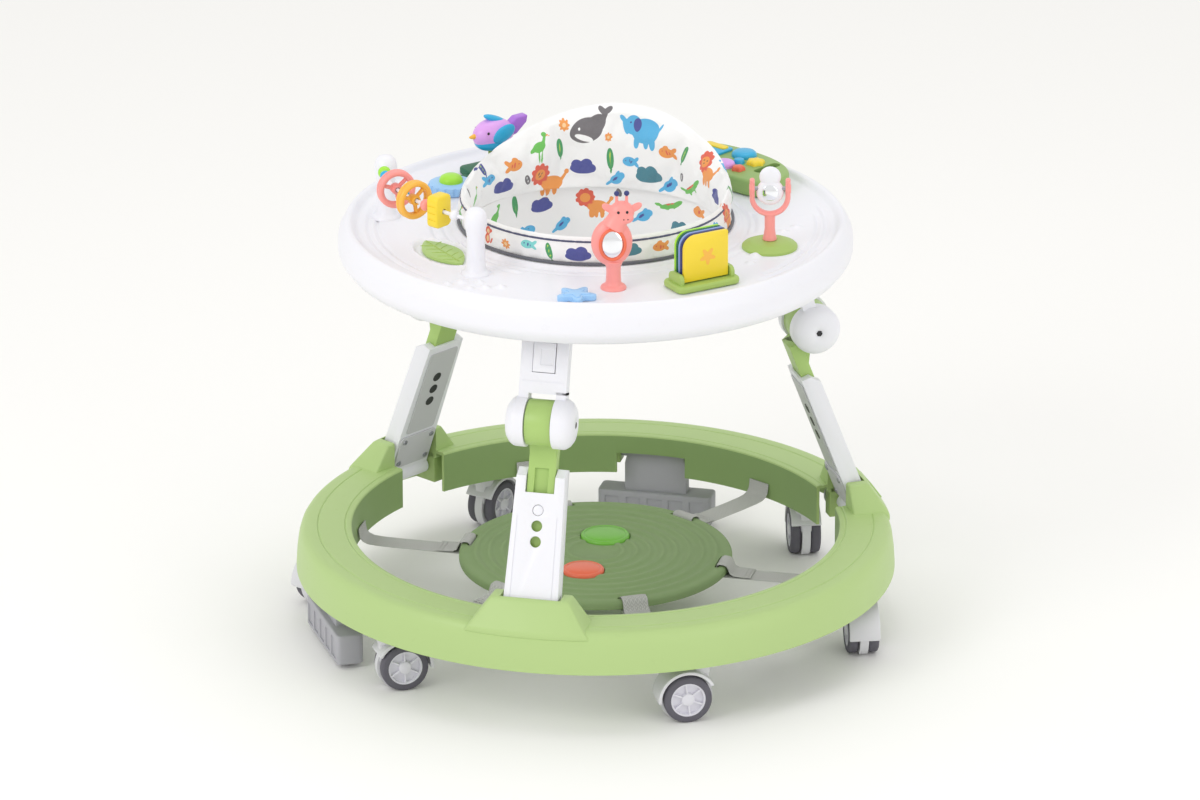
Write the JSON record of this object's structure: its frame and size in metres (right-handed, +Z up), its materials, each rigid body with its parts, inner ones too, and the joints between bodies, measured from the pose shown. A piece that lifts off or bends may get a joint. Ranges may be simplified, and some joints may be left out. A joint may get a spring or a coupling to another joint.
{
  "type": "baby walker",
  "caption": "Round folding baby walker: castered base ring with play mat, telescopic folding legs, round activity tray with toys and a padded fabric sling seat.",
  "frame": {"origin": "on the floor at the centre of the base ring", "axes": "+Z up, -Y towards the front leg, the way the child faces; +X to the child's left"},
  "size_m": [0.7101, 0.7, 0.611],
  "materials": {
    "pale_green_plastic": "satin",
    "mat_green": "matte",
    "webbing_grey": "matte",
    "white_plastic": "semi-gloss",
    "leaf_green_plastic": "satin",
    "steel": "brushed",
    "caster_grey": "satin",
    "tyre_dark": "matte",
    "foot_grey": "matte",
    "seat_fabric": "matte",
    "pink_plastic": "semi-gloss",
    "yellow_plastic": "semi-gloss",
    "toy_green": "satin",
    "orange_plastic": "semi-gloss",
    "bright_green": "semi-gloss",
    "blue_plastic": "semi-gloss",
    "lilac_plastic": "semi-gloss",
    "mirror_silver": "mirror"
  },
  "bodies": {
    "base": {"base_ring": "pale_green_plastic", "play_mat": "mat_green", "mat_webbing": "webbing_grey"},
    "mat_button_green": {"mat_button_green": "bright_green"},
    "mat_button_orange": {"mat_button_orange": "orange_plastic"},
    "leg_pivot_pin_1": {"leg_pivot_pin_1": "steel"},
    "leg_sheath_1": {"leg_sheath_1": "white_plastic"},
    "height_button_1": {"height_button_1": "white_plastic"},
    "leg_slider_1": {"leg_slider_1": "leaf_green_plastic"},
    "knee_pin_1": {"knee_pin_1": "white_plastic"},
    "upper_arm_1": {"upper_arm_1": "white_plastic"},
    "arm_latch_1": {"arm_latch_1": "white_plastic"},
    "leg_pivot_pin_2": {"leg_pivot_pin_2": "steel"},
    "leg_sheath_2": {"leg_sheath_2": "white_plastic"},
    "height_button_2": {"height_button_2": "white_plastic"},
    "leg_slider_2": {"leg_slider_2": "leaf_green_plastic"},
    "knee_pin_2": {"knee_pin_2": "white_plastic"},
    "upper_arm_2": {"upper_arm_2": "white_plastic"},
    "arm_latch_2": {"arm_latch_2": "white_plastic"},
    "leg_pivot_pin_3": {"leg_pivot_pin_3": "steel"},
    "leg_sheath_3": {"leg_sheath_3": "white_plastic"},
    "height_button_3": {"height_button_3": "white_plastic"},
    "leg_slider_3": {"leg_slider_3": "leaf_green_plastic"},
    "knee_pin_3": {"knee_pin_3": "white_plastic"},
    "upper_arm_3": {"upper_arm_3": "white_plastic"},
    "arm_latch_3": {"arm_latch_3": "white_plastic"},
    "caster_1": {"caster_hood_1": "caster_grey"},
    "caster_wheels_1": {"caster_wheels_1": "tyre_dark"},
    "caster_2": {"caster_hood_2": "caster_grey"},
    "caster_wheels_2": {"caster_wheels_2": "tyre_dark"},
    "caster_3": {"caster_hood_3": "caster_grey"},
    "caster_wheels_3": {"caster_wheels_3": "tyre_dark"},
    "caster_4": {"caster_hood_4": "caster_grey"},
    "caster_wheels_4": {"caster_wheels_4": "tyre_dark"},
    "caster_5": {"caster_hood_5": "caster_grey"},
    "caster_wheels_5": {"caster_wheels_5": "tyre_dark"},
    "caster_6": {"caster_hood_6": "caster_grey"},
    "caster_wheels_6": {"caster_wheels_6": "tyre_dark"},
    "stand_foot_1": {"stand_foot_1": "foot_grey"},
    "stand_foot_2": {"stand_foot_2": "foot_grey"},
    "stand_foot_3": {"stand_foot_3": "foot_grey"},
    "tray": {"tray": "white_plastic", "seat_rim": "seat_fabric", "seat_sling": "seat_fabric", "flip_book_base": "toy_green", "mirror_base": "toy_green", "music_box": "toy_green", "bead_arch": "white_plastic", "bird_perch": "toy_green"},
    "giraffe_toy": {"giraffe_toy": "pink_plastic"},
    "flip_page_inner": {"flip_page_inner": "bright_green"},
    "flip_page_outer": {"flip_page_outer": "yellow_plastic"},
    "mirror_fork": {"mirror_fork": "pink_plastic"},
    "mirror_spinner": {"mirror_spinner": "mirror_silver"},
    "music_button_1": {"music_button_1": "blue_plastic"},
    "music_button_2": {"music_button_2": "lilac_plastic"},
    "bead_slab_yellow": {"bead_slab_yellow": "yellow_plastic"},
    "bead_ring_orange": {"bead_ring_orange": "yellow_plastic"},
    "bead_ring_pink": {"bead_ring_pink": "pink_plastic"},
    "bird_toy": {"bird_toy": "lilac_plastic"}
  },
  "joints": [
    {"name": "mat_button_green_press", "type": "slide", "parent": "base", "child": "mat_button_green", "axis": [0, 0, -1], "range_m": [0, 0.003], "stiffness_N_per_m": 600},
    {"name": "mat_button_orange_press", "type": "slide", "parent": "base", "child": "mat_button_orange", "axis": [0, 0, -1], "range_m": [0, 0.003], "stiffness_N_per_m": 600},
    {"name": "fold_1", "type": "hinge", "parent": "base", "child": "leg_pivot_pin_1", "pos_m": [0, -0.316, 0.1], "axis": [-1, 0, 0], "range_deg": [0, 55], "deforming": ["seat_sling"]},
    {"name": "leg_tilt_1", "type": "hinge", "parent": "leg_pivot_pin_1", "child": "leg_sheath_1", "pos_m": [0, -0.316, 0.1], "axis": [-1, 0, 0], "range_deg": [0, 4]},
    {"name": "height_1", "type": "slide", "parent": "leg_sheath_1", "child": "leg_slider_1", "axis": [0, 0.36, 0.933], "range_m": [-0.036, 0]},
    {"name": "knee_tilt_1", "type": "hinge", "parent": "leg_slider_1", "child": "knee_pin_1", "pos_m": [0, -0.26, 0.343], "axis": [-1, 0, 0], "range_deg": [-4, 0]},
    {"name": "knee_1", "type": "hinge", "parent": "knee_pin_1", "child": "upper_arm_1", "pos_m": [0, -0.26, 0.343], "axis": [-1, 0, 0], "range_deg": [-150, 0]},
    {"name": "height_button_1_press", "type": "slide", "parent": "leg_sheath_1", "child": "height_button_1", "axis": [0, 0.933, -0.36], "range_m": [0, 0.002], "stiffness_N_per_m": 500},
    {"name": "arm_latch_1_press", "type": "slide", "parent": "upper_arm_1", "child": "arm_latch_1", "axis": [0, 0.9576, -0.288], "range_m": [0, 0.0025], "stiffness_N_per_m": 500},
    {"name": "fold_2", "type": "hinge", "parent": "base", "child": "leg_pivot_pin_2", "pos_m": [0.27366, 0.158, 0.1], "axis": [0.5, -0.866, 0], "range_deg": [0, 55]},
    {"name": "leg_tilt_2", "type": "hinge", "parent": "leg_pivot_pin_2", "child": "leg_sheath_2", "pos_m": [0.27366, 0.158, 0.1], "axis": [0.5, -0.866, 0], "range_deg": [0, 4]},
    {"name": "height_2", "type": "slide", "parent": "leg_sheath_2", "child": "leg_slider_2", "axis": [-0.3118, -0.18, 0.933], "range_m": [-0.036, 0]},
    {"name": "knee_tilt_2", "type": "hinge", "parent": "leg_slider_2", "child": "knee_pin_2", "pos_m": [0.22517, 0.13, 0.343], "axis": [0.5, -0.866, 0], "range_deg": [-4, 0]},
    {"name": "knee_2", "type": "hinge", "parent": "knee_pin_2", "child": "upper_arm_2", "pos_m": [0.22517, 0.13, 0.343], "axis": [0.5, -0.866, 0], "range_deg": [-150, 0]},
    {"name": "height_button_2_press", "type": "slide", "parent": "leg_sheath_2", "child": "height_button_2", "axis": [-0.808, -0.4665, -0.36], "range_m": [0, 0.002], "stiffness_N_per_m": 500},
    {"name": "arm_latch_2_press", "type": "slide", "parent": "upper_arm_2", "child": "arm_latch_2", "axis": [-0.8293, -0.4788, -0.288], "range_m": [0, 0.0025], "stiffness_N_per_m": 500},
    {"name": "fold_3", "type": "hinge", "parent": "base", "child": "leg_pivot_pin_3", "pos_m": [-0.27366, 0.158, 0.1], "axis": [0.5, 0.866, 0], "range_deg": [0, 55]},
    {"name": "leg_tilt_3", "type": "hinge", "parent": "leg_pivot_pin_3", "child": "leg_sheath_3", "pos_m": [-0.27366, 0.158, 0.1], "axis": [0.5, 0.866, 0], "range_deg": [0, 4]},
    {"name": "height_3", "type": "slide", "parent": "leg_sheath_3", "child": "leg_slider_3", "axis": [0.3118, -0.18, 0.933], "range_m": [-0.036, 0]},
    {"name": "knee_tilt_3", "type": "hinge", "parent": "leg_slider_3", "child": "knee_pin_3", "pos_m": [-0.22517, 0.13, 0.343], "axis": [0.5, 0.866, 0], "range_deg": [-4, 0]},
    {"name": "knee_3", "type": "hinge", "parent": "knee_pin_3", "child": "upper_arm_3", "pos_m": [-0.22517, 0.13, 0.343], "axis": [0.5, 0.866, 0], "range_deg": [-150, 0]},
    {"name": "height_button_3_press", "type": "slide", "parent": "leg_sheath_3", "child": "height_button_3", "axis": [0.808, -0.4665, -0.36], "range_m": [0, 0.002], "stiffness_N_per_m": 500},
    {"name": "arm_latch_3_press", "type": "slide", "parent": "upper_arm_3", "child": "arm_latch_3", "axis": [0.8293, -0.4788, -0.288], "range_m": [0, 0.0025], "stiffness_N_per_m": 500},
    {"name": "tray_hinge", "type": "hinge", "parent": "upper_arm_1", "child": "tray", "pos_m": [0, -0.22, 0.476], "axis": [-1, 0, 0], "range_deg": [0, 95]},
    {"name": "caster_swivel_1", "type": "hinge", "parent": "base", "child": "caster_1", "pos_m": [0.18437, -0.25848, 0.06], "axis": [0, 0, 1], "continuous": true},
    {"name": "caster_roll_1", "type": "hinge", "parent": "caster_1", "child": "caster_wheels_1", "pos_m": [0.16897, -0.26567, 0.028], "axis": [-0.4226, 0.9063, 0], "continuous": true},
    {"name": "caster_swivel_2", "type": "hinge", "parent": "base", "child": "caster_2", "pos_m": [0.31739, -0.00831, 0.06], "axis": [0, 0, 1], "continuous": true},
    {"name": "caster_roll_2", "type": "hinge", "parent": "caster_2", "child": "caster_wheels_2", "pos_m": [0.32321, -0.02429, 0.028], "axis": [-0.9397, -0.342, 0], "continuous": true},
    {"name": "caster_swivel_3", "type": "hinge", "parent": "base", "child": "caster_3", "pos_m": [0.19765, 0.24848, 0.06], "axis": [0, 0, 1], "continuous": true},
    {"name": "caster_roll_3", "type": "hinge", "parent": "caster_3", "child": "caster_wheels_3", "pos_m": [0.19183, 0.26445, 0.028], "axis": [0.9397, 0.342, 0], "continuous": true},
    {"name": "caster_swivel_4", "type": "hinge", "parent": "base", "child": "caster_4", "pos_m": [-0.18437, -0.25848, 0.06], "axis": [0, 0, 1], "continuous": true},
    {"name": "caster_roll_4", "type": "hinge", "parent": "caster_4", "child": "caster_wheels_4", "pos_m": [-0.16965, -0.24998, 0.028], "axis": [0.5, -0.866, 0], "continuous": true},
    {"name": "caster_swivel_5", "type": "hinge", "parent": "base", "child": "caster_5", "pos_m": [-0.31739, -0.00831, 0.06], "axis": [0, 0, 1], "continuous": true},
    {"name": "caster_roll_5", "type": "hinge", "parent": "caster_5", "child": "caster_wheels_5", "pos_m": [-0.32589, -0.02303, 0.028], "axis": [-0.866, 0.5, 0], "continuous": true},
    {"name": "caster_swivel_6", "type": "hinge", "parent": "base", "child": "caster_6", "pos_m": [-0.19765, 0.24848, 0.06], "axis": [0, 0, 1], "continuous": true},
    {"name": "caster_roll_6", "type": "hinge", "parent": "caster_6", "child": "caster_wheels_6", "pos_m": [-0.19183, 0.26445, 0.028], "axis": [0.9397, -0.342, 0], "continuous": true},
    {"name": "stand_foot_1_flip", "type": "hinge", "parent": "base", "child": "stand_foot_1", "pos_m": [0, 0.316, 0.086], "axis": [-1, 0, 0], "range_deg": [0, 80]},
    {"name": "stand_foot_2_flip", "type": "hinge", "parent": "base", "child": "stand_foot_2", "pos_m": [-0.27366, -0.158, 0.086], "axis": [0.5, -0.866, 0], "range_deg": [0, 80]},
    {"name": "stand_foot_3_flip", "type": "hinge", "parent": "base", "child": "stand_foot_3", "pos_m": [0.27366, -0.158, 0.086], "axis": [0.5, 0.866, 0], "range_deg": [-80, 0]},
    {"name": "giraffe_spin", "type": "hinge", "parent": "tray", "child": "giraffe_toy", "pos_m": [0.0709, -0.20826, 0.495], "axis": [0, 0, 1], "continuous": true},
    {"name": "flip_page_inner_turn", "type": "hinge", "parent": "tray", "child": "flip_page_inner", "pos_m": [0.15573, -0.1624, 0.5019], "axis": [-0.7218, -0.6921, 0], "range_deg": [0, 60]},
    {"name": "flip_page_outer_turn", "type": "hinge", "parent": "tray", "child": "flip_page_outer", "pos_m": [0.17165, -0.179, 0.5019], "axis": [0.7218, 0.6921, 0], "range_deg": [0, 60]},
    {"name": "mirror_fork_turn", "type": "hinge", "parent": "tray", "child": "mirror_fork", "pos_m": [0.21322, -0.03453, 0.51], "axis": [0, 0, 1], "continuous": true},
    {"name": "mirror_spin", "type": "hinge", "parent": "mirror_fork", "child": "mirror_spinner", "pos_m": [0.21322, -0.03453, 0.564], "axis": [0.9724, 0.2334, 0], "continuous": true},
    {"name": "music_button_1_press", "type": "slide", "parent": "tray", "child": "music_button_1", "axis": [0, 0, -1], "range_m": [0, 0.003], "stiffness_N_per_m": 500},
    {"name": "music_button_2_press", "type": "slide", "parent": "tray", "child": "music_button_2", "axis": [0, 0, -1], "range_m": [0, 0.003], "stiffness_N_per_m": 500},
    {"name": "slab_spin", "type": "hinge", "parent": "tray", "child": "bead_slab_yellow", "pos_m": [-0.13892, -0.18253, 0.55983], "axis": [-0.8897, 0.4565, 0], "continuous": true},
    {"name": "ring_orange_spin", "type": "hinge", "parent": "tray", "child": "bead_ring_orange", "pos_m": [-0.17409, -0.15964, 0.56171], "axis": [-0.7604, 0.6494, 0], "continuous": true},
    {"name": "ring_pink_spin", "type": "hinge", "parent": "tray", "child": "bead_ring_pink", "pos_m": [-0.2034, -0.12865, 0.56181], "axis": [-0.5853, 0.8108, 0], "continuous": true},
    {"name": "bird_spin", "type": "hinge", "parent": "tray", "child": "bird_toy", "pos_m": [-0.15755, 0.14186, 0.54], "axis": [0, 0, 1], "continuous": true}
  ],
  "couplings": [
    {"joint": "knee_1", "follows": "fold_1", "ratio": -2.65},
    {"joint": "leg_tilt_1", "follows": "height_1", "rad_per_m": -1.66},
    {"joint": "knee_tilt_1", "follows": "height_1", "rad_per_m": 1.66},
    {"joint": "fold_2", "follows": "fold_1", "ratio": 1},
    {"joint": "height_2", "follows": "height_1", "ratio": 1},
    {"joint": "knee_2", "follows": "fold_1", "ratio": -2.65},
    {"joint": "leg_tilt_2", "follows": "height_1", "rad_per_m": -1.66},
    {"joint": "knee_tilt_2", "follows": "height_1", "rad_per_m": 1.66},
    {"joint": "fold_3", "follows": "fold_1", "ratio": 1},
    {"joint": "height_3", "follows": "height_1", "ratio": 1},
    {"joint": "knee_3", "follows": "fold_1", "ratio": -2.65},
    {"joint": "leg_tilt_3", "follows": "height_1", "rad_per_m": -1.66},
    {"joint": "knee_tilt_3", "follows": "height_1", "rad_per_m": 1.66},
    {"joint": "tray_hinge", "follows": "fold_1", "ratio": 1.65}
  ]
}
